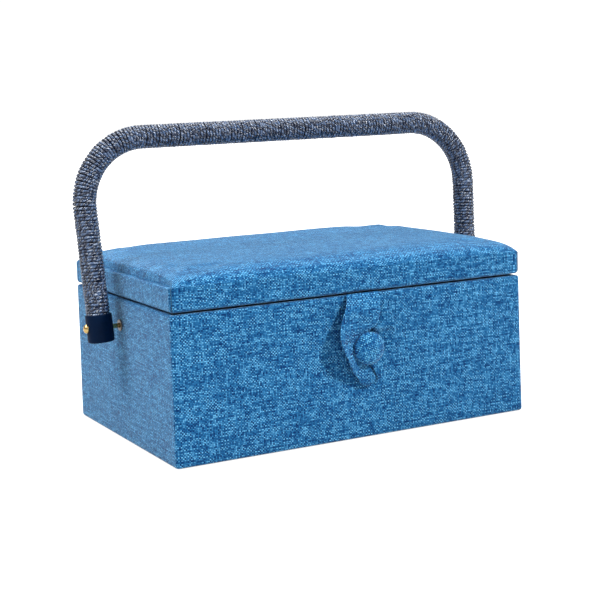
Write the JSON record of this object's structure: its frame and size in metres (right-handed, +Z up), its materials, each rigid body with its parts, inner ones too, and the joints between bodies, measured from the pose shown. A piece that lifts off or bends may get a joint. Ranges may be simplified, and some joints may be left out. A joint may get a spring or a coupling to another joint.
{
  "type": "sewing box",
  "caption": "Cloth-covered sewing box with padded hinged lid, wound swing handle, button-and-loop closure and lift-out compartment trays.",
  "frame": {"origin": "middle of the underside, on the surface the box stands on", "axes": "+X along the length (from the front, to the right), +Y to the back (the hinge side), +Z up"},
  "size_m": [0.3568, 0.2127, 0.237],
  "materials": {
    "linen_cloth": "coarse plain-weave linen look in mixed blues, matt",
    "base_cloth": "matt navy felted backing",
    "lining_cloth": "plain smooth cotton, ecru",
    "fibreboard": "raw fibreboard",
    "foam": "open-cell foam",
    "pincushion_felt": "same cloth over wadding, matt",
    "hinge_steel": "nickel-plated steel, satin",
    "plated_steel": "zinc-plated steel",
    "brass": "polished brass",
    "navy_plastic": "smooth dark navy moulded plastic",
    "handle_core": "plastic tube, hidden under the winding",
    "wound_cord": "glossy twisted paper cord, grey-blue and navy",
    "tray_plastic": "moulded off-white plastic, satin gloss"
  },
  "bodies": {
    "root": {"body_cover": "linen_cloth", "front_board": "fibreboard", "back_board": "fibreboard", "left_board": "fibreboard", "right_board": "fibreboard", "base_board": "fibreboard", "base_panel": "base_cloth", "body_lining": "lining_cloth", "front_tray_ledge": "fibreboard", "back_tray_ledge": "fibreboard", "closure_button": "linen_cloth", "button_shank": "plated_steel", "left_hinge_body_leaf": "hinge_steel", "right_hinge_body_leaf": "hinge_steel", "left_hinge_pin": "hinge_steel", "right_hinge_pin": "hinge_steel", "left_hinge_body_screw_outer": "hinge_steel", "left_hinge_body_screw_inner": "hinge_steel", "right_hinge_body_screw_outer": "hinge_steel", "right_hinge_body_screw_inner": "hinge_steel"},
    "lid": {"lid_cover": "linen_cloth", "lid_front_rail": "fibreboard", "lid_back_rail": "fibreboard", "lid_left_rail": "fibreboard", "lid_right_rail": "fibreboard", "lid_board": "fibreboard", "lid_foam": "foam", "lid_lining": "lining_cloth", "lid_pocket": "lining_cloth", "pincushion": "pincushion_felt", "left_hinge_lid_leaf": "hinge_steel", "right_hinge_lid_leaf": "hinge_steel", "left_hinge_lid_screw_outer": "hinge_steel", "left_hinge_lid_screw_inner": "hinge_steel", "right_hinge_lid_screw_outer": "hinge_steel", "right_hinge_lid_screw_inner": "hinge_steel"},
    "flap": {"closure_flap": "linen_cloth"},
    "pivots": {"left_pivot_bolt": "brass", "left_pivot_outer_washer": "plated_steel", "left_pivot_inner_washer": "plated_steel", "left_pivot_nut": "plated_steel", "right_pivot_bolt": "brass", "right_pivot_outer_washer": "plated_steel", "right_pivot_inner_washer": "plated_steel", "right_pivot_nut": "plated_steel"},
    "handle": {"handle_core": "handle_core", "handle_wrap": "wound_cord", "left_handle_cap": "navy_plastic", "right_handle_cap": "navy_plastic"},
    "left_tray": {"left_tray": "tray_plastic"},
    "right_tray": {"right_tray": "tray_plastic"}
  },
  "joints": [
    {"name": "lid_hinge", "type": "hinge", "parent": "root", "child": "lid", "pos_m": [0, 0.1005, 0.1098], "axis": [-1, 0, 0], "range_deg": [0, 100], "deforming": ["closure_flap"]},
    {"name": "flap_lift", "type": "hinge", "parent": "lid", "child": "flap", "pos_m": [0.005, -0.1, 0.1098], "axis": [-1, 0, 0], "range_deg": [0, 100], "deforming": ["closure_flap"]},
    {"name": "handle_swing", "type": "hinge", "parent": "root", "child": "pivots", "pos_m": [0, 0, 0.089], "axis": [-1, 0, 0], "range_deg": [-125, 0]},
    {"name": "handle_tip_back", "type": "hinge", "parent": "pivots", "child": "handle", "pos_m": [0, 0, 0.089], "axis": [-1, 0, 0], "range_deg": [0, 116]},
    {"name": "left_tray_lift", "type": "slide", "parent": "root", "child": "left_tray", "axis": [0, 0, 1], "range_m": [0, 0.06]},
    {"name": "right_tray_lift", "type": "slide", "parent": "root", "child": "right_tray", "axis": [0, 0, 1], "range_m": [0, 0.06]}
  ],
  "couplings": [
    {"joint": "handle_tip_back", "follows": "lid_hinge", "ratio": 1.15},
    {"joint": "left_tray_lift", "follows": "lid_hinge", "m_per_rad": 0.034},
    {"joint": "right_tray_lift", "follows": "lid_hinge", "m_per_rad": 0.034}
  ]
}
